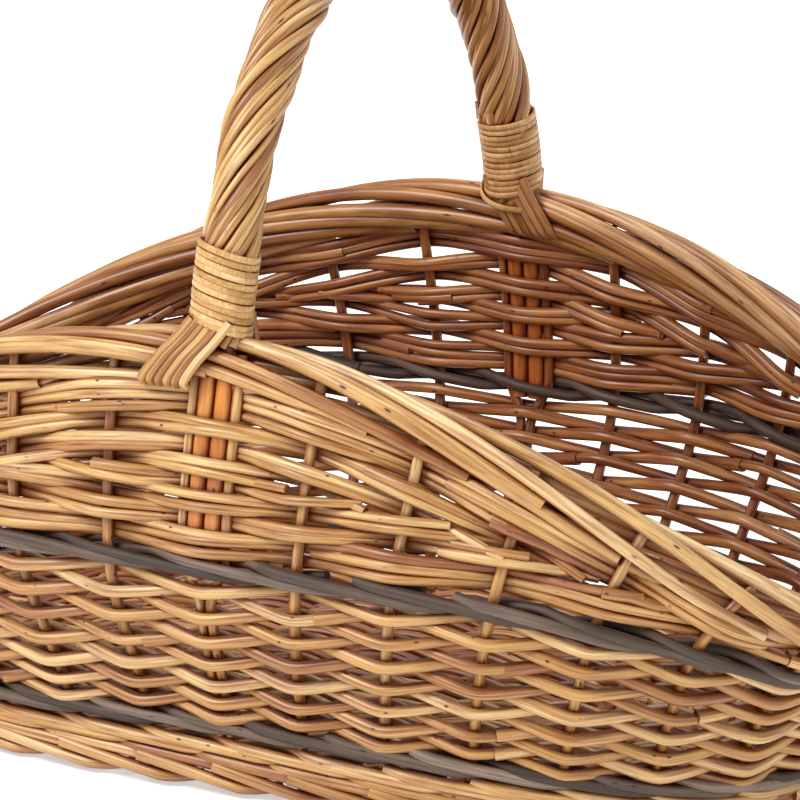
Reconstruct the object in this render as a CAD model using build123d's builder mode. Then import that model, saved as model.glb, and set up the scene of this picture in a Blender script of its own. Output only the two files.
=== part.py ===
from build123d import *
from math import acos, cos, sin, pi, copysign
import os

# Wicker log basket: an oval, boat-shaped willow basket with one roped handle over its middle.
# X runs along the length, Y across it, +Z up, and the foot stands on Z = 0. Millimetres.

# ---- Driving dimensions -------------------------------------------------------------------

# The middle of the wall's thickness, as oval sections: height, half length, half width and
# the exponent of the oval (2 is an ellipse, more is squarer).
WALL_SECTIONS = [
    (0, 291, 170.5, 2.65),
    (43, 311, 175.5, 2.65),
    (85, 340, 191, 2.6),
    (100, 360, 197, 2.4),
    (115, 370, 201, 2.4),
    (142, 366, 204.5, 2.5),
    (180, 335, 202, 2.75),
    (220, 306, 195.5, 2.7),
    (290, 300, 178, 2.5),
]
OVAL_POINTS = 32

WALL_IN = 8.0            # from the middle of the wall to its inner face
WALL_OUT = 8.0
BAND_OUT = 9.0           # the thick dark bands stand a little proud
RIM_HALF = 12.0          # the rim border is thicker both ways

RIM_TOP_MIDDLE = 269.5   # rim height at the handle
RIM_TOP_END = 103.5      # rim height at the two low ends
RIM_HALF_LENGTH = 376.0
RIM_FALL = 1.84          # exponent of the rim's fall from the handle to the ends
RIM_DEPTH = 27.0         # depth of the border at the handle
SIDING_END = 305.0       # half length of the upper siding, where the rim meets the upper band

UPPER_BAND_MIDDLE = 142.0
UPPER_BAND_DROP = 57.0
UPPER_BAND_HALF_LENGTH = 340.0
UPPER_BAND_FALL = 3.9    # the upper band stays level far from the handle, then drops
LOWER_BAND_MIDDLE = 43.0
LOWER_BAND_DROP = 21.0
LOWER_BAND_HALF_LENGTH = 300.0
BAND_HALF_HEIGHT = 7.0
FOOT_HEIGHT = 14.0
FOOT_DROP = 6.0

STAKE_DIAMETER = 6.0
STAKES_PER_SIDE = 15     # between the handle's two feet, on each side
STAKE_FOOT = 6.0         # height of the stakes' lower ends
STAKE_COVER = 8.0        # the border closes over the stakes' upper ends

BASE_BOTTOM = 10.0
BASE_TOP = 22.0
BASE_STICK_HEIGHT = 16.0
CROSS_STICK_DIAMETER = 9.0
CROSS_STICKS = 9
CROSS_STICK_PITCH = 52.0
LONG_STICK_DIAMETER = 5.0
LONG_STICK_PITCH = 34.0

HANDLE_X = 12.0          # the handle stands a little off the middle
BOW_DIAMETER = 9.0
BOW_SPACING = 9.2        # between the two bow rods, centre to centre
BOW_FOOT = 120.0         # the bow rods are driven down to this height, through the upper band
HANDLE_DIAMETER = 31.0
HANDLE_START = 275.0     # the roping starts just above the border
BINDING_TOP = 318.0
BINDING_THICKNESS = 2.5
FIT = 0.05               # clearance of a wrapped sleeve

# The handle's arch above the rim, from its foot to its crown: half span and height.
ARCH = [(171, 307), (157, 347), (128, 395), (73, 441)]
CROWN_HEIGHT = 458.0
ARCH_RADIUS = 45.0
WALL_BEND_RADIUS = 60.0

ROOT_DIAMETER = 6.0      # the handle strands' roots, laid slantwise over the border
ROOTS = 5
ROOT_PITCH = 8.9
ROOT_RUN = 34.0          # how far a root slants along the rim
ROOT_TOP = 270.0
ROOT_BOTTOM = 237.0

ROD_CLEARANCE = 0.4      # between a rod and what lies beside it
SHORTEST_RUN = 10.0      # no bend of a standing rod is nearer than this to its end
LEAST_HEIGHT = 0.01      # where a course is lower than this, its two edges meet
WALK_SAMPLES = 400       # chords used to measure the way round the wall
WIDE = 500.0             # larger than the basket, for the blocks that cut it

# Where the upper and lower edges of the courses bend, along the length.
COURSE_STATIONS = [-430, -376, -340, -305, -250, -180, -95, 0, 95, 180, 250, 305, 340, 376, 430]


# ---- The shape of the wall ----------------------------------------------------------------

def oval_point(half_length, half_width, exponent, angle):
    """A point of an oval at a parameter angle."""
    along = copysign(abs(cos(angle)) ** (2 / exponent), cos(angle))
    across = copysign(abs(sin(angle)) ** (2 / exponent), sin(angle))
    return half_length * along, half_width * across


def oval_points(half_length, half_width, exponent):
    """Points round an oval."""
    step = 2 * pi / OVAL_POINTS
    return [oval_point(half_length, half_width, exponent, step * i) for i in range(OVAL_POINTS)]


def section_at(height):
    """Half length, half width and exponent of the wall's middle at a height."""
    for low, high in zip(WALL_SECTIONS, WALL_SECTIONS[1:]):
        if height <= high[0]:
            share = (height - low[0]) / (high[0] - low[0])
            return [a + (b - a) * share for a, b in zip(low[1:], high[1:])]
    return list(WALL_SECTIONS[-1][1:])


def wall_point(angle, height):
    x, y = oval_point(*section_at(height), angle)
    return Vector(x, y, height)


def wall_y(height, x=HANDLE_X):
    """Half width of the wall's middle at a height, at one station of its length."""
    half_length, half_width, exponent = section_at(height)
    return half_width * (1 - (x / half_length) ** exponent) ** (1 / exponent)


def rim_top(x):
    share = min(abs(x) / RIM_HALF_LENGTH, 1)
    return RIM_TOP_END + (RIM_TOP_MIDDLE - RIM_TOP_END) * (1 - share ** RIM_FALL)


def upper_band(x):
    share = min(abs(x) / UPPER_BAND_HALF_LENGTH, 1)
    return UPPER_BAND_MIDDLE - UPPER_BAND_DROP * share ** UPPER_BAND_FALL


def lower_band(x):
    share = min(abs(x) / LOWER_BAND_HALF_LENGTH, 1)
    return LOWER_BAND_MIDDLE - LOWER_BAND_DROP * share ** 2


def foot_top(x):
    return FOOT_HEIGHT - FOOT_DROP * min(abs(x) / LOWER_BAND_HALF_LENGTH, 1) ** 2


def lower_band_bottom(x):
    return lower_band(x) - BAND_HALF_HEIGHT


def lower_band_top(x):
    return lower_band(x) + BAND_HALF_HEIGHT


def upper_band_bottom(x):
    return upper_band(x) - BAND_HALF_HEIGHT


def upper_band_top(x):
    return upper_band(x) + BAND_HALF_HEIGHT


def rim_bottom(x):
    """The border deepens towards its ends, where it comes down onto the upper band."""
    if abs(x) >= SIDING_END:
        return upper_band_top(x)
    end_depth = rim_top(SIDING_END) - upper_band_top(SIDING_END)
    depth = RIM_DEPTH + (end_depth - RIM_DEPTH) * (x / SIDING_END) ** 2
    return rim_top(x) - depth


def ground(x):
    return 0.0


# ---- Rods that stand in the wall ----------------------------------------------------------

def even_angles(start, end, count):
    """Parameter angles that share the way along the upper band evenly between two angles."""
    angles = [start + (end - start) * i / WALK_SAMPLES for i in range(WALK_SAMPLES + 1)]
    points = [wall_point(angle, UPPER_BAND_MIDDLE) for angle in angles]
    walked = [0.0]
    for before, after in zip(points, points[1:]):
        walked.append(walked[-1] + (after - before).length)
    found = []
    for number in range(1, count + 1):
        target = walked[-1] * number / (count + 1)
        index = next(i for i, way in enumerate(walked) if way >= target)
        found.append(angles[index])
    return found


def handle_angle():
    """Parameter angle of the handle's foot on the back of the upper band."""
    half_length, half_width, exponent = section_at(UPPER_BAND_MIDDLE)
    return acos((HANDLE_X / half_length) ** (exponent / 2))


def bends_between(low, high):
    """Heights of the wall's sections that a rod crosses between its two ends."""
    heights = [section[0] for section in WALL_SECTIONS]
    return [height for height in heights if low + SHORTEST_RUN < height < high - SHORTEST_RUN]


def stake_heights(angle):
    """Stations of a stake: its foot, the wall's sections that it crosses, and its top."""
    top = STAKE_FOOT
    for height in range(int(STAKE_FOOT), int(RIM_TOP_MIDDLE)):
        if height < rim_top(wall_point(angle, height).X) - STAKE_COVER:
            top = height
    return [STAKE_FOOT] + bends_between(STAKE_FOOT, top) + [top]


def rod(points, diameter):
    """A round rod along straight runs."""
    with BuildPart() as piece:
        with BuildLine() as route:
            Polyline(*points)
        with BuildSketch(Plane(points[0], z_dir=points[1] - points[0])):
            Circle(diameter / 2)
        sweep(path=route.line, transition=Transition.RIGHT)
    return piece


def finish(piece, name):
    piece.part.label = name
    export_step(piece.part, f"parts/{name}.step")


os.makedirs("parts", exist_ok=True)

back_angle = handle_angle()
angles = even_angles(-back_angle, back_angle, STAKES_PER_SIDE)
angles += even_angles(back_angle, 2 * pi - back_angle, STAKES_PER_SIDE)
stakes = []
for angle in angles:
    stakes.append(rod([wall_point(angle, height) for height in stake_heights(angle)], STAKE_DIAMETER))
for number, stake in enumerate(stakes, start=1):
    finish(stake, f"stake_{number:02d}")


# ---- The handle's two bow rods and their flanking stakes -----------------------------------

def wall_route(side, lowest, highest):
    """The wall's middle beside the handle, as (Y, Z) points from low to high."""
    heights = [lowest] + bends_between(lowest, highest) + [highest]
    return [(side * wall_y(height), height) for height in heights]


def handle_foot(height):
    """Y of the handle's centreline just above the rim, on the run to the arch's first point."""
    low = (wall_y(RIM_TOP_MIDDLE - STAKE_COVER), RIM_TOP_MIDDLE - STAKE_COVER)
    share = (height - low[1]) / (ARCH[0][1] - low[1])
    return low[0] + (ARCH[0][0] - low[0]) * share


def across(points):
    """(Y, Z) points as places in the handle's plane."""
    return [Vector(HANDLE_X, y, z) for y, z in points]


def swept_circles(points, radii, circles):
    """Circles (offset along X, radius, cut or not) swept along a filleted route."""
    with BuildPart() as piece:
        with BuildLine() as route:
            FilletPolyline(*points, radius=radii)
        with BuildSketch(Plane(points[0], x_dir=(1, 0, 0), z_dir=points[1] - points[0])):
            for shift, radius, mode in circles:
                with Locations((shift, 0)):
                    Circle(radius, mode=mode)
        sweep(path=route.line)
    return piece


wall_end = (wall_y(RIM_TOP_MIDDLE - STAKE_COVER), RIM_TOP_MIDDLE - STAKE_COVER)
front_wall = wall_route(-1, BOW_FOOT, wall_end[1])
front_arch = [(-y, z) for y, z in ARCH]
back_arch = list(reversed(ARCH))
back_wall = [(-y, z) for y, z in reversed(front_wall)]
bow_points = across(front_wall + front_arch + [(0, CROWN_HEIGHT)] + back_arch + back_wall)
wall_radii = [WALL_BEND_RADIUS] * (len(front_wall) - 1)
bow_radii = wall_radii + [ARCH_RADIUS] * (2 * len(ARCH) + 1) + wall_radii

bow_rods = []
for number, shift in enumerate((-BOW_SPACING / 2, BOW_SPACING / 2), start=1):
    bow = swept_circles(bow_points, bow_radii, [(shift, BOW_DIAMETER / 2, Mode.ADD)])
    finish(bow, f"handle_bow_rod_{number}")
    bow_rods.append(bow)

handle_stakes = {}
flank = (BOW_SPACING + BOW_DIAMETER + STAKE_DIAMETER) / 2 + ROD_CLEARANCE
for place, side in (("front", -1), ("back", 1)):
    route = wall_route(side, STAKE_FOOT, wall_end[1])
    with BuildPart() as pair:
        for shift in (-flank, flank):
            points = [Vector(HANDLE_X + shift, y, z) for y, z in route]
            add(rod(points, STAKE_DIAMETER).part)
    finish(pair, f"handle_stakes_{place}")
    handle_stakes[place] = pair


# ---- The wall's courses --------------------------------------------------------------------

def oval_loft(grow):
    """The wall's middle grown outwards (or inwards, if negative), as one solid block."""
    with BuildPart() as block:
        for height, half_length, half_width, exponent in WALL_SECTIONS:
            with BuildSketch(Plane.XY.offset(height)):
                with BuildLine():
                    Spline(*oval_points(half_length + grow, half_width + grow, exponent), periodic=True)
                make_face()
        loft(ruled=True)
    return block


def layer(inner, outer):
    with BuildPart() as wall:
        add(oval_loft(outer).part)
        add(oval_loft(-inner).part, mode=Mode.SUBTRACT)
    return wall


standing_rods = stakes + bow_rods + list(handle_stakes.values())


def course(name, wall, bottom, top, reach=WIDE, front=WIDE, back=WIDE):
    """The part of the wall between two height lines, less the rods that stand in it."""
    stations = [x for x in COURSE_STATIONS if abs(x) <= reach]
    outline = [(x, bottom(x)) for x in stations]
    outline += [(x, top(x)) for x in reversed(stations) if top(x) - bottom(x) > LEAST_HEIGHT]
    with BuildPart() as piece:
        with BuildSketch(Plane.XZ.offset(-back)):
            with BuildLine():
                Polyline(*outline, close=True)
            make_face()
        extrude(amount=back + front)
        add(wall.part, mode=Mode.INTERSECT)
        add([standing.part for standing in standing_rods], mode=Mode.SUBTRACT, clean=False)
    finish(piece, name)


siding_wall = layer(WALL_IN, WALL_OUT)
band_wall = layer(WALL_IN, BAND_OUT)
rim_wall = layer(RIM_HALF, RIM_HALF)

course("foot_border", band_wall, ground, foot_top)
course("foot_wale", siding_wall, foot_top, lower_band_bottom)
course("lower_dark_band", band_wall, lower_band_bottom, lower_band_top)
course("lower_siding", siding_wall, lower_band_top, upper_band_bottom)
course("upper_dark_band", band_wall, upper_band_bottom, upper_band_top)
course("rim_border", rim_wall, rim_bottom, rim_top)

course("upper_siding_front", siding_wall, upper_band_top, rim_bottom, reach=SIDING_END, back=0)
course("upper_siding_back", siding_wall, upper_band_top, rim_bottom, reach=SIDING_END, front=0)


# ---- The base ------------------------------------------------------------------------------

def base_stick(diameter, rows):
    """Round sticks lying in the base, each given by its two ends, cut to the wall's inside."""
    with BuildPart() as piece:
        for start, end in rows:
            with BuildSketch(Plane(start, z_dir=end - start)):
                Circle(diameter / 2)
            extrude(amount=(end - start).length)
        add(inside.part, mode=Mode.INTERSECT)
    return piece


inside = oval_loft(-WALL_IN)
long_shifts = [LONG_STICK_PITCH * row for row in (-1, 0, 1)]
long_sticks = []
for number, shift in enumerate(long_shifts, start=1):
    ends = (Vector(-WIDE, shift, BASE_STICK_HEIGHT), Vector(WIDE, shift, BASE_STICK_HEIGHT))
    stick = base_stick(LONG_STICK_DIAMETER, [ends])
    finish(stick, f"base_long_stick_{number}")
    long_sticks.append(stick)

rows = []
for number in range(CROSS_STICKS):
    x = CROSS_STICK_PITCH * (number - (CROSS_STICKS - 1) / 2)
    rows.append((Vector(x, -WIDE, BASE_STICK_HEIGHT), Vector(x, WIDE, BASE_STICK_HEIGHT)))
cross_sticks = base_stick(CROSS_STICK_DIAMETER, rows)
with BuildPart() as threaded_sticks:
    add(cross_sticks.part)
    add([stick.part for stick in long_sticks], mode=Mode.SUBTRACT)
finish(threaded_sticks, "base_cross_sticks")

with BuildPart() as base_weave:
    with BuildSketch(Plane.XY.offset(BASE_BOTTOM)):
        Rectangle(2 * WIDE, 2 * WIDE)
    extrude(amount=BASE_TOP - BASE_BOTTOM)
    add(inside.part, mode=Mode.INTERSECT)
    add([stick.part for stick in long_sticks + [cross_sticks]], mode=Mode.SUBTRACT)
finish(base_weave, "base_weave")


# ---- The handle ----------------------------------------------------------------------------

def foot_point(side, height):
    """(Y, Z) of the handle's centreline at a height just above the rim."""
    return (side * handle_foot(height), height)


def arch_height_point(side, height):
    """(Y, Z) on the run between the arch's first two points."""
    share = (height - ARCH[0][1]) / (ARCH[1][1] - ARCH[0][1])
    return (side * (ARCH[0][0] + (ARCH[1][0] - ARCH[0][0]) * share), height)


arch_points = [foot_point(-1, HANDLE_START)] + front_arch + [(0, CROWN_HEIGHT)]
arch_points += back_arch + [foot_point(1, HANDLE_START)]
bow_holes = [
    (-BOW_SPACING / 2, BOW_DIAMETER / 2, Mode.SUBTRACT),
    (BOW_SPACING / 2, BOW_DIAMETER / 2, Mode.SUBTRACT),
]
roping = swept_circles(
    across(arch_points),
    [ARCH_RADIUS] * (len(arch_points) - 2),
    [(0, HANDLE_DIAMETER / 2, Mode.ADD)] + bow_holes,
)
finish(roping, "handle_roping")

for place, side in (("front", -1), ("back", 1)):
    points = [foot_point(side, HANDLE_START), (side * ARCH[0][0], ARCH[0][1])]
    points.append(arch_height_point(side, BINDING_TOP))
    sleeve = swept_circles(
        across(points),
        ARCH_RADIUS,
        [
            (0, HANDLE_DIAMETER / 2 + FIT + BINDING_THICKNESS, Mode.ADD),
            (0, HANDLE_DIAMETER / 2 + FIT, Mode.SUBTRACT),
        ],
    )
    finish(sleeve, f"binding_{place}")

# Each root leaves the binding's lower edge and slants over the border, down to the siding.
root_gap = RIM_HALF + ROOT_DIAMETER / 2 + ROD_CLEARANCE
for place, side, face in (
    ("front_outside", -1, 1),
    ("front_inside", -1, -1),
    ("back_outside", 1, 1),
    ("back_inside", 1, -1),
):
    with BuildPart() as roots:
        for number in range(ROOTS):
            x = HANDLE_X + ROOT_PITCH * (number - (ROOTS - 1) / 2)
            slant = side * face * ROOT_RUN
            points = []
            for share, height in ((0, ROOT_TOP), (1, ROOT_BOTTOM)):
                y = wall_y(height, HANDLE_X) + face * root_gap
                points.append(Vector(x + slant * share, side * y, height))
            add(rod(points, ROOT_DIAMETER).part)
    finish(roots, f"roots_{place}")
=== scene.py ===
import math
import random

import bpy
import numpy as np
from mathutils import Matrix, Vector


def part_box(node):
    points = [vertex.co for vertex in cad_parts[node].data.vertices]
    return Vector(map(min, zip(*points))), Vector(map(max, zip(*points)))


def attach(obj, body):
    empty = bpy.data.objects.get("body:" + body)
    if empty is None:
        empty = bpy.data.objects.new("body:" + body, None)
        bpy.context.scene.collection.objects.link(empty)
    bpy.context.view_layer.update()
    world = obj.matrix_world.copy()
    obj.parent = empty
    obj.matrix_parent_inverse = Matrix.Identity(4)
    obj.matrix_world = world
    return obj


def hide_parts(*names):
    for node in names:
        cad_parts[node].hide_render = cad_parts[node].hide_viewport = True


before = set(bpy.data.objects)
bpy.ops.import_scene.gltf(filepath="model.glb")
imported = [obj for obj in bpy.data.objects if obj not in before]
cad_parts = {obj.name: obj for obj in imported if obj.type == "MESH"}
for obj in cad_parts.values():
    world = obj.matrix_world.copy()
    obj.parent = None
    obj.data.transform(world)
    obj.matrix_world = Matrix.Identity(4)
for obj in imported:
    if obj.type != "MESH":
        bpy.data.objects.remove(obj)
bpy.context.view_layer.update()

# A willow log basket, woven rod by rod: metres, +Z up, X along the basket, front at -Y.

random.seed(11)
rng = np.random.default_rng(11)

# ---- Sizes of the willow ------------------------------------------------------------------

SIDING_ROD = 0.0036      # radii
SLEW_ROD = 0.0031
WALE_ROD = 0.0036
DARK_ROD = 0.0033
BORDER_ROD = 0.0042
FOOT_ROD = 0.0038
STAKE_ROD = 0.0034
FLANK_ROD = 0.0030
BOW_ROD = 0.0050
ROPE_ROD = 0.0027
ROOT_ROD = 0.0026
CROSS_STICK_ROD = 0.0044
LONG_STICK_ROD = 0.0040
BASE_ROD = 0.0027
TUBE_SIDES = 10
STEP = 0.0042            # along a rod, from one ring of its mesh to the next
CUT_TONE = 0.04          # cut ends are the darkest and reddest part of a rod

STAKES = 32
HALF_STAKES = STAKES // 2

# ---- The wall -------------------------------------------------------------------------------

RIM_SINK = 0.0020        # from the top of the rim's box down to the middle of the topmost rods
RIM_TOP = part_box("rim_border")[1][2] - RIM_SINK
RIM_END = 0.106          # height of the rim at the two low ends
RIM_FALL = 1.84          # exponent of its fall from the handle to the ends
FOOT_LEVEL = 0.003
LOWER_BAND_MIDDLE, LOWER_BAND_DROP = 0.043, 0.021
UPPER_BAND_MIDDLE, UPPER_BAND_DROP, UPPER_BAND_FALL = 0.142, 0.057, 3.9
HANDLE_X = 0.012         # the handle stands a little off the middle

# Half length, half width and squareness of the wall's middle at four stations.
FOOT = (0.291, 0.1705, 2.65)
LOWER_BAND = (0.3005, 0.1755, 2.65)
UPPER_BAND = (0.340, 0.204, 2.75)
RIM = (0.376, 0.1825, 2.75)


def oval(shape, angle):
    """A squared oval: half length, half width and squareness."""
    c, s = np.cos(angle), np.sin(angle)
    half_length, half_width, square = shape
    x = half_length * np.sign(c) * np.abs(c) ** (2 / square)
    y = half_width * np.sign(s) * np.abs(s) ** (2 / square)
    return x, y


def stations(angle):
    """The wall's middle at the foot, the two dark bands and the rim, for each angle."""
    levels = []
    for shape, height in (
        (FOOT, lambda t: FOOT_LEVEL + 0 * t),
        (LOWER_BAND, lambda t: LOWER_BAND_MIDDLE - LOWER_BAND_DROP * t ** 2),
        (UPPER_BAND, lambda t: UPPER_BAND_MIDDLE - UPPER_BAND_DROP * t ** UPPER_BAND_FALL),
        (RIM, lambda t: RIM_END + (RIM_TOP - RIM_END) * (1 - t ** RIM_FALL)),
    ):
        x, y = oval(shape, angle)
        levels.append(np.stack([x, y, height(np.abs(x) / shape[0])], axis=-1))
    return levels


def monotone(before, after):
    """Slope that keeps a curve through three values from overshooting."""
    both = before * after
    total = before + after
    return np.where(both > 0, 2 * both / np.where(np.abs(total) < 1e-9, 1, total), 0)


def wall(angle, level):
    """Points of the wall's middle. Level 0 is the foot, 1 and 2 the dark bands, 3 the rim."""
    rings = stations(angle)
    steps = [rings[i + 1] - rings[i] for i in range(3)]
    middle = [monotone(steps[0], steps[1]), monotone(steps[1], steps[2])]
    slopes = [(3 * steps[0] - middle[0]) / 2, *middle, (3 * steps[2] - middle[1]) / 2]
    part = np.clip(np.floor(level).astype(int), 0, 2)
    t = (level - part)[..., None]
    pick = lambda many, shift=0: np.choose((part + shift)[..., None], many)
    a, b = pick(rings), pick(rings, 1)
    da, db = pick(slopes), pick(slopes, 1)
    h = 3 * t ** 2 - 2 * t ** 3
    return a * (1 - h) + b * h + da * (t ** 3 - 2 * t ** 2 + t) + db * (t ** 3 - t ** 2)


def unit(vectors):
    return vectors / np.maximum(np.linalg.norm(vectors, axis=-1, keepdims=True), 1e-12)


def wall_frame(angle, level):
    """Place, outward normal, way along and way up of the wall."""
    e = 1e-3
    along = unit(wall(angle + e, level) - wall(angle - e, level))
    up = unit(wall(angle, np.minimum(level + e, 3)) - wall(angle, np.maximum(level - e, 0)))
    out = unit(np.cross(along, up))
    return wall(angle, level), out, along, unit(np.cross(out, along))


# Stakes are numbered from the front of the handle round by the right end.
BACK_ANGLE = math.acos((HANDLE_X / UPPER_BAND[0]) ** (UPPER_BAND[2] / 2))


def stake_table():
    """Angle as a function of the stake number, evenly spaced on each side of the handle."""
    numbers, angles = [], []
    for start, end, first in (
        (-BACK_ANGLE, BACK_ANGLE, 0),
        (BACK_ANGLE, 2 * math.pi - BACK_ANGLE, HALF_STAKES),
    ):
        angle = np.linspace(start, end, 1200)
        points = wall(angle, np.full_like(angle, 2.0))
        walked = np.r_[0, np.cumsum(np.linalg.norm(np.diff(points, axis=0), axis=1))]
        numbers.append(first + HALF_STAKES * walked / walked[-1])
        angles.append(angle)
    return np.concatenate(numbers), np.concatenate(angles)


STAKE_NUMBERS, STAKE_ANGLES = stake_table()
STAKE_PITCH = 0.0578     # mean distance from stake to stake


def angle_at(number):
    """Angle of a place given in stake numbers, which may run past a full turn."""
    turns = np.floor(number / STAKES)
    return np.interp(number - STAKES * turns, STAKE_NUMBERS, STAKE_ANGLES) + 2 * math.pi * turns


def on_wall(number, level, out=0.0, up=0.0):
    """Points beside the wall: stake number, level, and metres outward and upward from it."""
    place, normal, _, rise = wall_frame(angle_at(number), level)
    return place + normal * np.asarray(out)[..., None] + rise * np.asarray(up)[..., None]


def gap_height(number, low, high):
    """Metres of wall between two levels."""
    angle = angle_at(number)
    a = wall(angle, np.full_like(angle, low))
    b = wall(angle, np.full_like(angle, high))
    return np.linalg.norm(b - a, axis=-1)


# ---- Rods as meshes -------------------------------------------------------------------------

class Bundle:
    """Rods gathered into one mesh, each with its own tone and its length marked along it."""

    def __init__(self):
        self.points, self.faces = [], []
        self.tone, self.along, self.around = [], [], []
        self.count = 0

    def sweep(self, rings, path, tone, around):
        """A closed tube through rings of points, with darker cut ends."""
        n, sides = rings.shape[:2]
        length = np.r_[0, np.cumsum(np.linalg.norm(np.diff(path, axis=0), axis=1))]
        length = np.r_[length, 0, length[-1]] + rng.random() * 5
        tones = np.append(np.broadcast_to(tone, n), [CUT_TONE, CUT_TONE])
        index = self.count + np.arange((n + 2) * sides).reshape(n + 2, sides)
        body = index[:n]
        following = np.roll(body, -1, axis=1)
        quads = np.stack([body[:-1], following[:-1], following[1:], body[1:]], axis=-1)
        self.points.append(np.concatenate([rings, rings[[0, -1]]]).reshape(-1, 3))
        self.faces.extend(quads.reshape(-1, 4).tolist())
        self.faces.append(index[n][::-1].tolist())
        self.faces.append(index[n + 1].tolist())
        self.tone.append(np.repeat(tones, sides))
        self.along.append(np.repeat(length, sides))
        self.around.append(np.tile(around, n + 2))
        self.count += (n + 2) * sides

    def rod(self, path, radius, hint=(0, 0, 1), sides=TUBE_SIDES):
        """A round rod along a path that never runs along the hint."""
        way = unit(np.gradient(path, axis=0))
        a = unit(np.cross(way, np.broadcast_to(np.array(hint, float), way.shape)))
        b = np.cross(a, way)
        turn = np.arange(sides) * 2 * math.pi / sides
        ring = np.cos(turn)[None, :, None] * a[:, None] + np.sin(turn)[None, :, None] * b[:, None]
        radius = np.broadcast_to(radius, len(path))
        self.sweep(path[:, None] + ring * radius[:, None, None], path, rng.random(), turn / (2 * math.pi))

    def ribbon(self, path, heading, half_wide, half_thick):
        """A flat strip along a path, its width along heading, with a slightly crowned face."""
        way = unit(np.gradient(path, axis=0))
        across = unit(heading - (way @ heading)[:, None] * way)
        face = np.cross(way, across)
        crown = [(-1, 0), (-0.8, 0.7), (-0.3, 1), (0.3, 1), (0.8, 0.7), (1, 0)]
        profile = crown + [(0.8, -0.8), (-0.8, -0.8)]
        rings = [path + across * (a * half_wide) + face * (b * half_thick) for a, b in profile]
        tone = 0.45 + 0.35 * np.sin(np.arange(len(path)) * 0.11)
        self.sweep(np.stack(rings, axis=1), path, tone, np.linspace(0, 0.4, len(profile)))

    def build(self, name, material, slot, *nodes):
        """Makes the piece, which stands in for the named CAD nodes."""
        mesh = bpy.data.meshes.new(name)
        mesh.from_pydata(np.concatenate(self.points).tolist(), [], self.faces)
        for label, values in (("tone", self.tone), ("along", self.along), ("around", self.around)):
            layer = mesh.attributes.new(label, "FLOAT", "POINT")
            layer.data.foreach_set("value", np.concatenate(values).astype(np.float32))
        mesh.polygons.foreach_set("use_smooth", [len(face) == 4 for face in self.faces])
        mesh.materials.append(material)
        mesh.update()
        piece = bpy.data.objects.new(name, mesh)
        bpy.context.collection.objects.link(piece)
        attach(piece, "root")
        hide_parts(*nodes)


def along_numbers(start, end):
    """Stake numbers from start to end, close enough together for a smooth rod."""
    count = max(6, int(abs(end - start) * STAKE_PITCH / STEP))
    return np.linspace(start, end, count)


def wave(phase, sharp=0.9):
    """From 1 to -1 and back over two stakes, nearly straight between them."""
    return np.arcsin(sharp * np.cos(math.pi * phase)) / math.asin(sharp)


def taper(count, butt, tip):
    """Radii of a rod that thins evenly from its butt to its tip."""
    return np.linspace(butt, tip, count)


def wobble(numbers, size, every=3.0):
    """A slow irregular drift along a rod, drawn anew at every call."""
    knots = rng.normal(0, size, int(abs(numbers[-1] - numbers[0]) / every) + 4)
    return np.interp(np.linspace(0, len(knots) - 1, len(numbers)), np.arange(len(knots)), knots)


# ---- Materials ------------------------------------------------------------------------------

def linear(code):
    """sRGB hex to a linear colour."""
    parts = [int(code[i:i + 2], 16) / 255 for i in (0, 2, 4)]
    return [c / 12.92 if c <= 0.04045 else ((c + 0.055) / 1.055) ** 2.4 for c in parts] + [1.0]


def node(tree, kind, settings=None, **links):
    """Adds a node, with its settings, its colour stops and what is linked to its inputs."""
    made = tree.nodes.new(kind)
    for key, value in (settings or {}).items():
        if key == "stops":
            while len(made.color_ramp.elements) < len(value):
                made.color_ramp.elements.new(0.5)
            for element, (place, code) in zip(made.color_ramp.elements, value):
                element.position = place
                element.color = linear(code)
        elif isinstance(key, int):
            made.inputs[key].default_value = value
        else:
            setattr(made, key, value)
    for key, value in links.items():
        socket = made.inputs[int(key[1:])] if key[1:].isdigit() else made.inputs[key]
        if hasattr(value, "is_output"):
            tree.links.new(value, socket)
        else:
            socket.default_value = value
    return made


# How close the patterns lie along a rod, round it and from rod to rod.
FIBRE_SCALE = (22.0, 9.0, 40.0)
PATCH_SCALE = (9.0, 1.0, 17.0)
SCAR_SCALE = (3.0, 23.0)                 # round a rod and from rod to rod only


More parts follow.
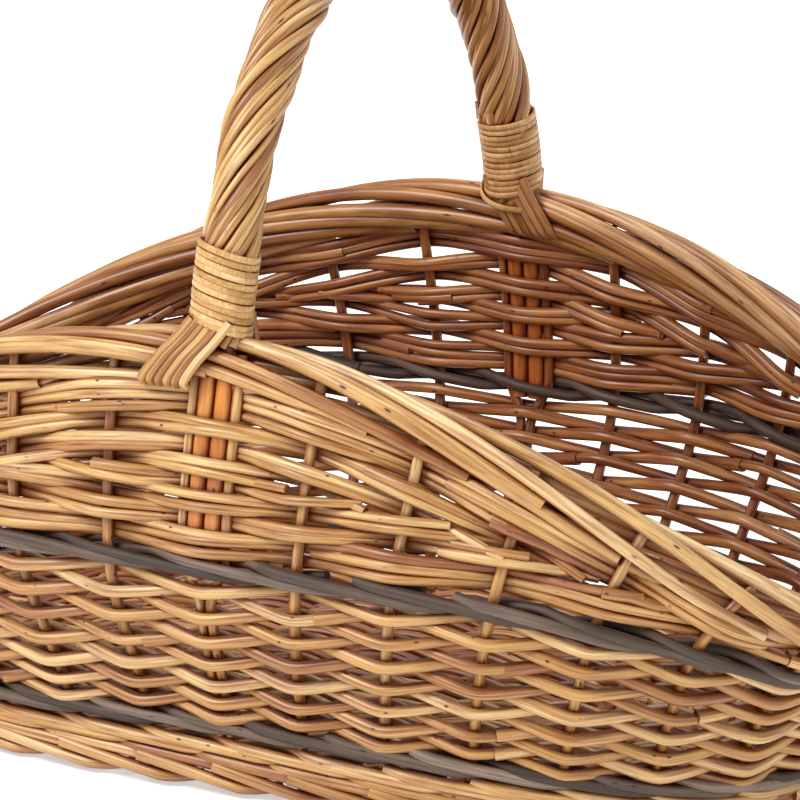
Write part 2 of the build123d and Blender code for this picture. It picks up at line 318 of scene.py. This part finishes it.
def willow(
    name, tones, streak, scar, roughness,
    # the last argument sets how strong the painted shade is on faces turned to the basket's middle
    coat=0.0, bump=0.25, depth=0.0004, scar_every=0.02, shade_inside_strength=0.75,
):
    """Willow rod: a tone for each rod, long streaks in its skin, and small dark leaf scars.

    Sides that face into the basket, and the seams between rods, get painted shade: a redder, darker tint
    where shade falls inside the basket and between rods.
    """
    material = bpy.data.materials.new(name)
    material.use_nodes = True
    tree = material.node_tree
    shader = tree.nodes["Principled BSDF"]
    shader.inputs["Roughness"].default_value = roughness
    shader.inputs["IOR"].default_value = 1.47
    shader.inputs["Coat Weight"].default_value = coat
    shader.inputs["Coat Roughness"].default_value = 0.35
    tone = node(tree, "ShaderNodeAttribute", {"attribute_name": "tone"}).outputs["Fac"]
    along = node(tree, "ShaderNodeAttribute", {"attribute_name": "along"}).outputs["Fac"]
    around = node(tree, "ShaderNodeAttribute", {"attribute_name": "around"}).outputs["Fac"]
    # A place on the rod's skin: slow along it, quick round it.
    skin = node(tree, "ShaderNodeCombineXYZ", i0=along, i1=around, i2=tone).outputs[0]
    stretched = node(
        tree, "ShaderNodeVectorMath", {"operation": "MULTIPLY", 1: FIBRE_SCALE}, i0=skin
    ).outputs[0]
    fibres = node(tree, "ShaderNodeTexNoise", i0=stretched, Scale=1.0, Detail=5.0, Roughness=0.6)
    patches = node(
        tree, "ShaderNodeVectorMath", {"operation": "MULTIPLY", 1: PATCH_SCALE}, i0=skin
    ).outputs[0]
    drift = node(tree, "ShaderNodeTexNoise", i0=patches, Scale=1.0, Detail=2.0)
    # tone of the rod, moved a little along its length
    shifted = node(
        tree, "ShaderNodeMath", {"operation": "MULTIPLY_ADD", 1: 1.1, 2: -0.55}, i0=drift.outputs[0]
    ).outputs[0]
    level = node(tree, "ShaderNodeMath", {"operation": "ADD", "use_clamp": True}, i0=tone, i1=shifted)
    colour = node(tree, "ShaderNodeValToRGB", {"stops": tones}, i0=level.outputs[0]).outputs[0]
    fibre_stops = [(0.38, "000000"), (0.60, "FFFFFF")]
    grain = node(tree, "ShaderNodeValToRGB", {"stops": fibre_stops}, i0=fibres.outputs[0]).outputs[0]
    streaked = node(
        tree, "ShaderNodeMix", {"data_type": "RGBA", "blend_type": "MULTIPLY"},
        i0=streak[1], i6=colour, i7=linear(streak[0]),
    )
    grained = node(tree, "ShaderNodeMix", {"data_type": "RGBA"}, i0=grain, i6=streaked.outputs[2], i7=colour)
    # leaf scars: little dark dashes, one or two in every few centimetres
    cells = node(
        tree, "ShaderNodeVectorMath", {"operation": "MULTIPLY", 1: (1 / scar_every, *SCAR_SCALE)}, i0=skin
    ).outputs[0]
    scars = node(tree, "ShaderNodeTexVoronoi", i0=cells, Scale=1.0, Randomness=1.0)
    scar_stops = [(0.06, "FFFFFF"), (0.12, "000000")]
    nicks = node(tree, "ShaderNodeValToRGB", {"stops": scar_stops}, i0=scars.outputs["Distance"]).outputs[0]
    marked = node(
        tree, "ShaderNodeMix", {"data_type": "RGBA"},
        i0=nicks, i6=grained.outputs[2], i7=linear(scar),
    )
    # painted shade: faces turned to the basket's middle are tinted redder and darker, standing in for the
    # shade inside the basket
    surface = node(tree, "ShaderNodeNewGeometry").outputs
    level_place = node(
        tree, "ShaderNodeVectorMath", {"operation": "MULTIPLY", 1: (1.0, 1.0, 0.0)}, i0=surface["Position"]
    ).outputs[0]
    away = node(tree, "ShaderNodeVectorMath", {"operation": "NORMALIZE"}, i0=level_place).outputs[0]
    facing = node(tree, "ShaderNodeVectorMath", {"operation": "DOT_PRODUCT"}, i0=surface["Normal"], i1=away)
    inward_shade_share = node(
        tree, "ShaderNodeMapRange", {1: 0.25, 2: -0.35, 3: 0.0, 4: shade_inside_strength},
        i0=facing.outputs["Value"],
    )
    colour_shaded_inside = node(
        tree, "ShaderNodeMix", {"data_type": "RGBA", "blend_type": "MULTIPLY", 7: linear("D09A78")},
        i0=inward_shade_share.outputs[0], i6=marked.outputs[2],
    )
    # painted shade: ambient occlusion darkens and reddens the seams between rods, where shade falls
    seams = node(tree, "ShaderNodeAmbientOcclusion", {"samples": 4}, Distance=0.012)
    seam_openness = node(tree, "ShaderNodeMapRange", {1: 0.25, 2: 0.85}, i0=seams.outputs["AO"])
    painted_seam_shade = node(
        tree, "ShaderNodeMix", {"data_type": "RGBA", "blend_type": "MULTIPLY", 0: 1.0, 7: linear("B06A42")},
        i6=colour_shaded_inside.outputs[2],
    )
    base_with_painted_shade = node(
        tree, "ShaderNodeMix", {"data_type": "RGBA"},
        i0=seam_openness.outputs[0], i6=painted_seam_shade.outputs[2], i7=colour_shaded_inside.outputs[2],
    )
    tree.links.new(base_with_painted_shade.outputs[2], shader.inputs["Base Color"])
    relief = node(tree, "ShaderNodeBump", Strength=bump, Distance=depth, Height=fibres.outputs[0])
    tree.links.new(relief.outputs[0], shader.inputs["Normal"])
    return material


# Boiled and stripped rods: honey with red-brown streaks, satin skin with a little polish.
buff = willow(
    "buff_willow_stripped",
    [(0.0, "965F34"), (0.25, "B38448"), (0.65, "C59C5C"), (1.0, "D6B67E")],
    ("A0623A", 0.8), "321A0C", 0.38, coat=0.16, scar_every=0.014,
)
# Unpeeled rods: grey-brown bark, dull, with lighter patches.
dark = willow(
    "brown_willow_in_bark",
    [(0.0, "3A2A20"), (0.35, "524032"), (0.7, "6A584A"), (1.0, "8A7868")],
    ("6E5844", 0.6), "2A1C12", 0.58, bump=0.5, depth=0.0007, shade_inside_strength=0.3,
)
# The two thick bow rods: orange-brown, polished by the knife.
bow = willow(
    "bow_willow_orange",
    [(0.0, "A8581E"), (0.5, "C6782C"), (1.0, "DC9C4A")],
    ("9A5A2A", 0.6), "4A2412", 0.36, coat=0.18,
)
# Split skeins: flat, paler outside, with the fibres showing.
skein = willow(
    "willow_skein_split",
    [(0.0, "B48A50"), (0.5, "CDA466"), (1.0, "DFBF88")],
    ("B98A52", 0.5), "6A4426", 0.46, coat=0.10, scar_every=0.06, shade_inside_strength=0.3,
)
# Thick rods of the border and the handle, palest where the light takes the skin.
thick = willow(
    "thick_willow_stripped",
    [(0.0, "9E6C3A"), (0.25, "B98D50"), (0.65, "CBA568"), (1.0, "DDC08C")],
    ("A66C40", 0.75), "3E2210", 0.36, coat=0.17, scar_every=0.026, shade_inside_strength=0.5,
)


# ---- Weaves ---------------------------------------------------------------------------------

# A swing is how far a rod goes out and in, and a rise how far up and down, from its round's middle.
WALE_SWING, WALE_RISE = 0.0062, 0.0036
DARK_SWING = 0.0068
LOWER_BAND_RISE, UPPER_BAND_RISE = 0.0040, 0.0042
SIDING_SWING = 0.0060
RAND_RISE = 0.0025
WALE_RUN = 8.6           # stakes that one rod of the wale passes
RAND_RUNS = (6, 8, 8, 10)                # stakes that one rod of the randing passes
ROWS = 13                # of French randing
ROWS_START, ROWS_SPAN = 1.08, 0.85       # levels


def waled_round(bundle, level, radius, rise, spread, first):
    """A round of three-rod wale: each rod passes two stakes in front and one behind."""
    for strand in range(3):
        origin = first + strand
        start = origin
        while start < origin + STAKES - 0.5:
            end = min(start + WALE_RUN, origin + STAKES)
            numbers = along_numbers(start - 0.35, end + 0.30)
            step = np.mod(numbers - origin, 3.0)
            # in front at steps 0 and 1, behind at step 2
            out = np.where(step <= 1, 1.0, np.cos(math.pi * np.minimum(step - 1, 1)))
            out = np.where(step > 2, -np.cos(math.pi * (step - 2)), out)
            slide = np.mod(step + 0.5, 3.0)
            up = np.where(slide <= 2.0, 1 - slide, 2 * slide - 5)
            path = on_wall(
                numbers, np.full_like(numbers, level),
                out=out * spread, up=up * rise + wobble(numbers, 0.0004),
            )
            bundle.rod(path, taper(len(numbers), radius * 1.12, radius * 0.86))
            start = end


def randed_round(bundle, row, level):
    """One row of French randing: single rods, over one stake and under the next."""
    first = row % 2 + (row * 3) % STAKES
    start = float(first)
    while start < first + STAKES - 0.5:
        end = min(start + random.choice(RAND_RUNS), first + STAKES)
        numbers = along_numbers(start - 0.75, end + 0.55)
        path = on_wall(
            numbers, np.full_like(numbers, level),
            out=wave(numbers - row, 0.93) * SIDING_SWING,
            up=-wave(numbers - row, 0.985) * RAND_RISE + wobble(numbers, 0.0006),
        )
        bundle.rod(path, taper(len(numbers), SIDING_ROD * 1.1, SIDING_ROD * 0.8))
        start = end


foot_wale = Bundle()
for level, first in ((0.50, 0.0), (0.72, 1.4)):
    waled_round(foot_wale, level, WALE_ROD, WALE_RISE, WALE_SWING, first)

lower_band = Bundle()
waled_round(lower_band, 1.0, DARK_ROD, LOWER_BAND_RISE, DARK_SWING, 0.7)

upper_band = Bundle()
waled_round(upper_band, 2.0, DARK_ROD, UPPER_BAND_RISE, DARK_SWING, 1.0)

lower_siding = Bundle()
for row in range(ROWS):
    randed_round(lower_siding, row, ROWS_START + ROWS_SPAN * (row + 0.5) / ROWS)

# ---- Upper siding: slewing, in groups of two or three rods ----------------------------------

SLEW_PITCH = 0.0052      # least distance from one layer to the next
SLEW_LAYERS = 18
GROUP_OF_PLACE = (0, 0, 0, 1, 1, 2, 2, 3, 3)   # rods that are woven together, from the edge inwards
BAND_ROOM = 0.0080       # from the upper band's middle to its top edge
BORDER_ROOM = 0.027      # from the rim's level down to the border's lower edge


def slewed_side(bundle, first):
    """One side of the upper siding: low rods keep to the band, high rods keep to the rim."""
    numbers = np.linspace(first, first + HALF_STAKES, 600)
    height = gap_height(numbers, 2.0, 3.0)
    room = height - BAND_ROOM - BORDER_ROOM
    pitch = np.maximum(room / SLEW_LAYERS, SLEW_PITCH)
    for layer in range(SLEW_LAYERS):
        from_top = layer >= SLEW_LAYERS // 2
        place = SLEW_LAYERS - 1 - layer if from_top else layer
        group = GROUP_OF_PLACE[place] + from_top
        inside = np.where(room > SLEW_PITCH * (2 * place + 0.35))[0]
        begin, end = numbers[inside[0]], numbers[inside[-1]]
        cut = begin + rng.uniform(-0.3, 0.2)
        while cut < end - 0.5:
            stop = min(cut + rng.uniform(5.0, 9.0), end + rng.uniform(-0.2, 0.3))
            run = along_numbers(cut, stop)
            tall = np.interp(run, numbers, height)
            lift = np.interp(run, numbers, pitch) * (place + 0.5)
            middle = tall - BORDER_ROOM - lift if from_top else BAND_ROOM + lift
            path = on_wall(
                run, 2 + np.clip(middle / tall, 0.02, 0.98),
                out=wave(run - group, 0.86) * SIDING_SWING, up=wobble(run, 0.0009, 1.6),
            )
            bundle.rod(path, taper(len(run), SLEW_ROD * 1.15, SLEW_ROD * 0.85))
            cut = stop - 0.35


upper_front, upper_back = Bundle(), Bundle()
slewed_side(upper_back, HALF_STAKES / 2)
slewed_side(upper_front, HALF_STAKES * 1.5)

# ---- Borders ----------------------------------------------------------------------------------

BORDER_RUN = 8.3         # stakes that one border rod passes
BORDER_SIDE = 0.0079     # half the roll's width, from rod middle to rod middle
BORDER_REACH = (0.008, 0.0125)           # half its height, least and most
BORDER_DROP = 0.0005     # how much lower its middle sits than that
FIRST_TURN, TUCKED_TURN, CUT_TURN = -165, 175, 118       # degrees round the roll

border = Bundle()
for number in range(STAKES):
    start = number + rng.uniform(-0.12, 0.12)
    numbers = along_numbers(start, start + BORDER_RUN + rng.uniform(-0.3, 0.3))
    # every third rod is cut off on the outside, and the others are tucked under
    turn = np.radians(np.linspace(FIRST_TURN, TUCKED_TURN if number % 3 else CUT_TURN, len(numbers)))
    tall = gap_height(numbers, 2.0, 3.0)
    reach = np.clip((tall - 0.012) / 2, *BORDER_REACH)
    core = 3 - (reach + BORDER_DROP) / np.maximum(tall, 0.02)
    path = on_wall(
        numbers, np.clip(core, 2.05, 3),
        out=BORDER_SIDE * np.sin(turn) + wobble(numbers, 0.0003),
        up=reach * np.cos(turn) - BORDER_DROP + wobble(numbers, 0.0003),
    )
    border.rod(path, taper(len(numbers), BORDER_ROD * 1.08, BORDER_ROD * 0.88))

FOOT_RUN = 1.6           # stakes that a foot rod passes: it slopes down, then is tucked under
FOOT_START, FOOT_DROP = 0.47, 0.37       # level where a foot rod starts, and levels it drops
FOOT_OUT, FOOT_TUCK = 0.0080, 0.0130

foot = Bundle()
for number in range(STAKES):
    numbers = along_numbers(number - 0.1, number + FOOT_RUN + rng.uniform(-0.1, 0.1))
    share = np.linspace(0, 1, len(numbers))
    level = FOOT_START - FOOT_DROP * np.clip(share / 0.85, 0, 1)
    out = FOOT_OUT - FOOT_TUCK * np.clip((share - 0.75) / 0.25, 0, 1)
    path = on_wall(numbers, level, out=out)
    path[:, 2] = np.maximum(path[:, 2], FOOT_ROD)    # a rod never goes through the floor
    foot.rod(path, taper(len(numbers), FOOT_ROD, FOOT_ROD * 0.85))

# ---- Stakes ---------------------------------------------------------------------------------

stakes = Bundle()
levels = np.linspace(0.05, 2.93, 70)
for number in range(STAKES):
    if number % HALF_STAKES:
        path = on_wall(np.full_like(levels, number), levels)
        stakes.rod(path, taper(len(levels), STAKE_ROD * 1.05, STAKE_ROD * 0.9), hint=(0, 1, 0))

# ---- Handle -----------------------------------------------------------------------------------

# Half of the handle's centreline, from the rim up: distance from the middle, and height.
HANDLE_HALF = (
    (0.182, 0.262), (0.1795, 0.285), (0.171, 0.314), (0.156, 0.352),
    (0.128, 0.396), (0.083, 0.436), (0.028, 0.4565),
)


def handle_line(count=400):
    """Points on the handle's centreline from front to back, and how far along it each lies."""
    knots = np.array([(-y, z) for y, z in HANDLE_HALF] + [(y, z) for y, z in reversed(HANDLE_HALF)])
    walked = np.r_[0, np.cumsum(np.linalg.norm(np.diff(knots, axis=0), axis=1))]
    where = np.linspace(0, walked[-1], count)
    smooth = []
    for column in range(2):
        values = knots[:, column]
        slope = np.gradient(values, walked)
        index = np.clip(np.searchsorted(walked, where) - 1, 0, len(knots) - 2)
        span = walked[index + 1] - walked[index]
        t = (where - walked[index]) / span
        smooth.append(
            (2 * t ** 3 - 3 * t ** 2 + 1) * values[index] + (t ** 3 - 2 * t ** 2 + t) * span * slope[index]
            + (3 * t ** 2 - 2 * t ** 3) * values[index + 1] + (t ** 3 - t ** 2) * span * slope[index + 1]
        )
    return np.stack([np.full(count, HANDLE_X), *smooth], axis=-1), where


line, walked = handle_line()
way = unit(np.gradient(line, axis=0))
HANDLE_SIDE = np.array([1.0, 0, 0])
HANDLE_OUT = unit(np.cross(way, HANDLE_SIDE))

ROPES = 18
ROPE_RADIUS = 0.0126
ROPE_TURN = 0.168        # metres of handle for one turn of a strand

roping = Bundle()
for rope in range(ROPES):
    turn = 2 * math.pi * (rope / ROPES + walked / ROPE_TURN) + 0.10 * np.sin(walked * 25 + rope * 2.1)
    reach = ROPE_RADIUS * (1 + 0.05 * np.sin(walked * 31 + rope)) + 0.0006 * rng.normal()
    sideways = HANDLE_SIDE * (np.cos(turn) * reach)[:, None]
    outwards = HANDLE_OUT * (np.sin(turn) * reach)[:, None]
    path = line + sideways + outwards
    roping.rod(path, ROPE_ROD * (1 + 0.06 * rng.normal()), hint=HANDLE_SIDE)

BOW_TOE = 1.93           # the level the bow rods are driven down to, behind the upper band
BOW_APART_LOW, BOW_APART = 0.0051, 0.0040        # half the way from one to the other

bows = Bundle()
for shift in (-1, 1):
    lead = []
    for foot_number in (0, HALF_STAKES):
        levels = np.linspace(BOW_TOE, 2.95, 40)
        place = on_wall(np.full_like(levels, foot_number), levels)
        lead.append(place + HANDLE_SIDE * shift * BOW_APART_LOW)
    over = line + HANDLE_SIDE * shift * BOW_APART
    path = np.concatenate([lead[0][:-3], over[6:-6], lead[1][:-3][::-1]])
    bows.rod(path, BOW_ROD, hint=HANDLE_SIDE)

# A pair of stakes: side by side below the upper band, then one on each side of the bow rods.
FLANK_APART, FLANK_SPREAD = 0.0031, 0.0102
FLANK_PARTING, FLANK_PARTING_RUN = 1.78, 0.27    # levels

flanks = Bundle()
for foot_number in (0, HALF_STAKES):
    levels = np.linspace(0.05, 2.93, 90)
    place = on_wall(np.full_like(levels, foot_number), levels)
    part = np.clip((levels - FLANK_PARTING) / FLANK_PARTING_RUN, 0, 1)
    aside = FLANK_APART + FLANK_SPREAD * part ** 2 * (3 - 2 * part)
    for side in (-1, 1):
        flanks.rod(place + HANDLE_SIDE * (side * aside)[:, None], FLANK_ROD, hint=HANDLE_SIDE)

BINDING_RADIUS = 0.0166
BINDING_TURNS = 12.4
BINDING_SPAN = (0.006, 0.053)            # metres along the handle's centreline
FRONT_TILT, BACK_TILT = -0.30, 0.14      # slope of the wraps across the handle
CROSSING_ROOM = 1.14                     # how much wider the crossing skein runs than the wraps
CROSSING_DROP = (0.004, -0.016)          # its height at both ends, from the lowest wrap
SKEIN_HALF_WIDE, SKEIN_HALF_THICK = 0.0020, 0.0011
STUB_RADIUS = 0.0150     # from the handle's middle to the four cut ends beside the back binding


def binding(bundle, centre, facing, tilt):
    """Flat skein wound round the handle's foot, then crossed slantwise under the lowest wrap."""
    share = np.linspace(0, 1, 900)
    where = share * (len(centre) - 1)
    place = np.stack([np.interp(where, np.arange(len(centre)), centre[:, c]) for c in range(3)], axis=-1)
    heading = unit(centre[-1] - centre[0])
    out = unit(np.cross(heading, HANDLE_SIDE)) * facing

    def ring(turn, drop):
        x, y = np.cos(turn) * BINDING_RADIUS, np.sin(turn) * BINDING_RADIUS
        along = drop + tilt * x
        return HANDLE_SIDE * x[:, None] + out * y[:, None] + heading * along[:, None]

    turn = share * BINDING_TURNS * 2 * math.pi
    wraps = place + ring(turn, 0.0004 * np.sin(turn * 0.37))
    bundle.ribbon(wraps, heading, SKEIN_HALF_WIDE, SKEIN_HALF_THICK)
    slant = np.linspace(math.pi + 0.15, -0.15, 60)
    wider = np.array([CROSSING_ROOM, CROSSING_ROOM, 1])
    crossing = centre[0] + ring(slant, np.linspace(*CROSSING_DROP, 60)) * wider
    bundle.ribbon(crossing, heading, SKEIN_HALF_WIDE, SKEIN_HALF_THICK)


start, end = np.searchsorted(walked, BINDING_SPAN)
front_binding, back_binding = Bundle(), Bundle()
binding(front_binding, line[start:end], 1, FRONT_TILT)
binding(back_binding, line[::-1][start:end], -1, BACK_TILT)

# Four cut rod ends stand just above the back binding's upper edge, held under its wraps.
upper_edge = line[::-1][end]
climb = unit(upper_edge - line[::-1][start])
for number in range(4):
    aside = math.radians(28 * number - 5)
    held = upper_edge + STUB_RADIUS * np.array([-math.cos(aside), -math.sin(aside), 0.0])
    share = np.linspace(-0.003, 0.0085 - 0.0012 * number, 12)[:, None]
    roping.rod(held + climb * share, ROOT_ROD, hint=(1, 0, 0))

# ---- Roots of the handle's strands over the border -----------------------------------------

ROOT_STRANDS = 6
ROOT_PITCH, ROOT_FANNING = 0.0046, 0.0006        # from strand to strand, and how much that grows
ROOT_RADIUS, ROOT_LIFT = 0.0125, 0.004           # where a strand leaves the handle
# share of the way, height, and distance from the wall's middle
ROOT_KNOTS = (
    (0.30, 0.2660, 0.0140), (0.62, 0.2560, 0.0156), (0.92, 0.2440, 0.0148), (1.0, 0.2400, 0.0060),
)
WALL_HEIGHTS = (0.225, 0.245, 0.2655)            # below the handle
WALL_HALF_WIDTHS = (0.1945, 0.1895, 0.1835)


def root_fan(bundle, start, sign, face, run):
    """Strands that leave the binding and slant over the border, then tuck under it."""
    for strand in range(ROOT_STRANDS):
        spread = strand - (ROOT_STRANDS - 1) / 2
        knots = [start + np.array([spread * ROOT_PITCH, sign * face * ROOT_RADIUS, ROOT_LIFT])]
        for share, height, off in ROOT_KNOTS:
            x = HANDLE_X + spread * (ROOT_PITCH + ROOT_FANNING * share) + run * share
            y = np.interp(height, WALL_HEIGHTS, WALL_HALF_WIDTHS)
            knots.append(np.array([x, sign * (y + face * off), height]))
        t = np.linspace(0, len(knots) - 1, 40)
        columns = [np.interp(t, np.arange(len(knots)), column) for column in zip(*knots)]
        path = np.stack(columns, axis=-1)
        for _ in range(6):
            path[1:-1] = (path[:-2] + 2 * path[1:-1] + path[2:]) / 4
        bundle.rod(path, ROOT_ROD, hint=(1, 0.1, 0))


roots = {}
for name, start, sign, face, run in (
    ("front_outside", line[8], -1, 1, -0.027),
    ("front_inside", line[8], -1, -1, 0.006),
    ("back_inside", line[-9], 1, -1, 0.017),
    ("back_outside", line[-9], 1, 1, -0.010),
):
    roots[name] = Bundle()
    root_fan(roots[name], start, sign, face, run)

# ---- Base -------------------------------------------------------------------------------------

BASE_HEIGHT = 0.016
BASE_HALF_WIDTH = 0.1655
BASE_LONGER = 0.122      # half length less half width of every round
CROSS = 9
CROSS_PITCH = 0.052
STICK_HALF_WIDTH, STICK_HALF_LENGTH = 0.158, 0.283       # of the oval the cross sticks reach
STICK_SQUARENESS = 2.65
LONG_STICK_SHIFTS = (-0.034, 0.0, 0.034)
LONG_STICK_HALF = 0.275
BASE_ROUNDS = 30
WEAVE_RISE, END_RISE = 0.0046, 0.0023    # up and down over the cross sticks, less at a round's ends
END_RUN = 0.04                           # how long those ends are

base_sticks, long_sticks, base_weave = Bundle(), Bundle(), Bundle()
for number in range(CROSS):
    x = CROSS_PITCH * (number - (CROSS - 1) / 2)
    fall = (1 - (abs(x) / STICK_HALF_LENGTH) ** STICK_SQUARENESS) ** (1 / STICK_SQUARENESS)
    half = STICK_HALF_WIDTH * fall
    y = np.linspace(-half, half, 30)
    base_sticks.rod(np.stack([0 * y + x, y, 0 * y + BASE_HEIGHT], axis=-1), CROSS_STICK_ROD)
for shift in LONG_STICK_SHIFTS:
    x = np.linspace(-LONG_STICK_HALF, LONG_STICK_HALF, 60)
    long_sticks.rod(np.stack([x, 0 * x + shift, 0 * x + BASE_HEIGHT], axis=-1), LONG_STICK_ROD)
for row in range(BASE_ROUNDS):
    share = (row + 1) / BASE_ROUNDS
    half_wide = BASE_HALF_WIDTH * share
    half_long = half_wide + BASE_LONGER
    angle = np.linspace(0, 2 * math.pi, 360, endpoint=False)
    angle = np.append(angle, 2 * math.pi + 0.02)
    x, y = oval((half_long, half_wide, 2.2 + 0.45 * share), angle)    # squarer outwards
    lift = np.where(np.abs(x) < half_long - END_RUN, WEAVE_RISE, END_RISE)
    z = BASE_HEIGHT + lift * np.sin(math.pi * x / CROSS_PITCH + math.pi * (row + 0.5))
    base_weave.rod(np.stack([x, y, z], axis=-1), BASE_ROD, sides=8)

# ---- Putting the pieces in place --------------------------------------------------------------

stake_nodes = [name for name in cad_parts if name.startswith("stake_")]
long_stick_nodes = [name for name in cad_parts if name.startswith("base_long_stick_")]
for bundle, name, material, slot, nodes in (
    (stakes, "stakes", buff, "stake_willow", stake_nodes),
    (flanks, "handle_stakes", buff, "stake_willow", ["handle_stakes_front", "handle_stakes_back"]),
    (foot, "foot_border_rods", thick, "border_willow", ["foot_border"]),
    (foot_wale, "foot_wale_rods", buff, "buff_willow", ["foot_wale"]),
    (lower_band, "lower_dark_band_rods", dark, "dark_willow", ["lower_dark_band"]),
    (lower_siding, "lower_siding_rods", buff, "buff_willow", ["lower_siding"]),
    (upper_band, "upper_dark_band_rods", dark, "dark_willow", ["upper_dark_band"]),
    (upper_front, "upper_siding_front_rods", buff, "buff_willow", ["upper_siding_front"]),
    (upper_back, "upper_siding_back_rods", buff, "buff_willow", ["upper_siding_back"]),
    (border, "rim_border_rods", thick, "border_willow", ["rim_border"]),
    (bows, "handle_bow_rods", bow, "bow_rod_wood", ["handle_bow_rod_1", "handle_bow_rod_2"]),
    (roping, "handle_roping_strands", thick, "handle_willow", ["handle_roping"]),
    (front_binding, "binding_front_skein", skein, "skein_willow", ["binding_front"]),
    (back_binding, "binding_back_skein", skein, "skein_willow", ["binding_back"]),
    (base_sticks, "base_cross_stick_rods", buff, "base_stick_willow", ["base_cross_sticks"]),
    (long_sticks, "base_long_stick_rods", buff, "base_stick_willow", long_stick_nodes),
    (base_weave, "base_weave_rods", buff, "buff_willow", ["base_weave"]),
):
    bundle.build(name, material, slot, *nodes)
for name, bundle in roots.items():
    bundle.build(f"roots_{name}_strands", thick, "handle_willow", f"roots_{name}")

# ---- Floor, light and camera ------------------------------------------------------------------

FLOOR_HALF = 14.0


def floor():
    """A pale floor, only for the picture."""
    mesh = bpy.data.meshes.new("floor")
    corners = [(FLOOR_HALF * x, FLOOR_HALF * y, 0) for x, y in ((-1, -1), (1, -1), (1, 1), (-1, 1))]
    mesh.from_pydata(corners, [], [(0, 1, 2, 3)])
    piece = bpy.data.objects.new("floor", mesh)
    bpy.context.collection.objects.link(piece)
    material = bpy.data.materials.new("pale_paper_floor")
    material.use_nodes = True
    tree = material.node_tree
    shader = tree.nodes["Principled BSDF"]
    mottle = node(tree, "ShaderNodeTexNoise", Scale=3.0, Detail=2.0)
    mottle_stops = [(0.3, "F7F7F6"), (0.7, "FBFBFA")]
    tint = node(tree, "ShaderNodeValToRGB", {"stops": mottle_stops}, i0=mottle.outputs[0])
    tree.links.new(tint.outputs[0], shader.inputs["Base Color"])
    tree.links.new(tint.outputs[0], shader.inputs["Emission Color"])
    shader.inputs["Emission Strength"].default_value = 0.5
    shader.inputs["Roughness"].default_value = 0.9
    mesh.materials.append(material)


def area_light(name, place, aim, size, power):
    """A white rectangular light at a place, pointed at aim."""
    light = bpy.data.lights.new(name, "AREA")
    light.shape = "RECTANGLE"
    light.size, light.size_y = size
    light.energy = power
    piece = bpy.data.objects.new(name, light)
    bpy.context.collection.objects.link(piece)
    piece.location = place
    piece.rotation_euler = (Vector(aim) - Vector(place)).to_track_quat("-Z", "Y").to_euler()


floor()
area_light("key", (-1.2, -1.9, 2.2), (0, 0, 0.2), (1.1, 1.1), 80)
area_light("fill", (2.2, -1.6, 1.2), (0, 0, 0.2), (1.6, 1.6), 14)
area_light("top", (0.2, 0.8, 2.6), (0, 0, 0.1), (2.2, 1.6), 30)

world = bpy.data.worlds.new("studio")
bpy.context.scene.world = world
world.use_nodes = True
backdrop = world.node_tree.nodes["Background"]
backdrop.inputs[0].default_value = (1, 1, 1, 1)
backdrop.inputs[1].default_value = 0.55

AZIMUTH, ELEVATION = math.radians(26.84), math.radians(15.87)
DISTANCE = 3.897
LENS = 306.66
AIM_RIGHT, AIM_UP, AIM_HEIGHT = 0.0258, 0.0310, 0.150

back = Vector((
    math.sin(AZIMUTH) * math.cos(ELEVATION),
    -math.cos(AZIMUTH) * math.cos(ELEVATION),
    math.sin(ELEVATION),
))
right = Vector((math.cos(AZIMUTH), math.sin(AZIMUTH), 0))
up = back.cross(right)
aim = right * AIM_RIGHT + up * AIM_UP + Vector((0, 0, AIM_HEIGHT))
lens = bpy.data.cameras.new("camera")
lens.lens = LENS
lens.sensor_width = 36
lens.clip_end = 60
camera = bpy.data.objects.new("camera", lens)
bpy.context.collection.objects.link(camera)
turned = Matrix((right, up, back)).transposed().to_4x4()
camera.matrix_world = Matrix.Translation(aim + back * DISTANCE) @ turned
bpy.context.scene.camera = camera
bpy.context.scene.view_settings.view_transform = "Standard"
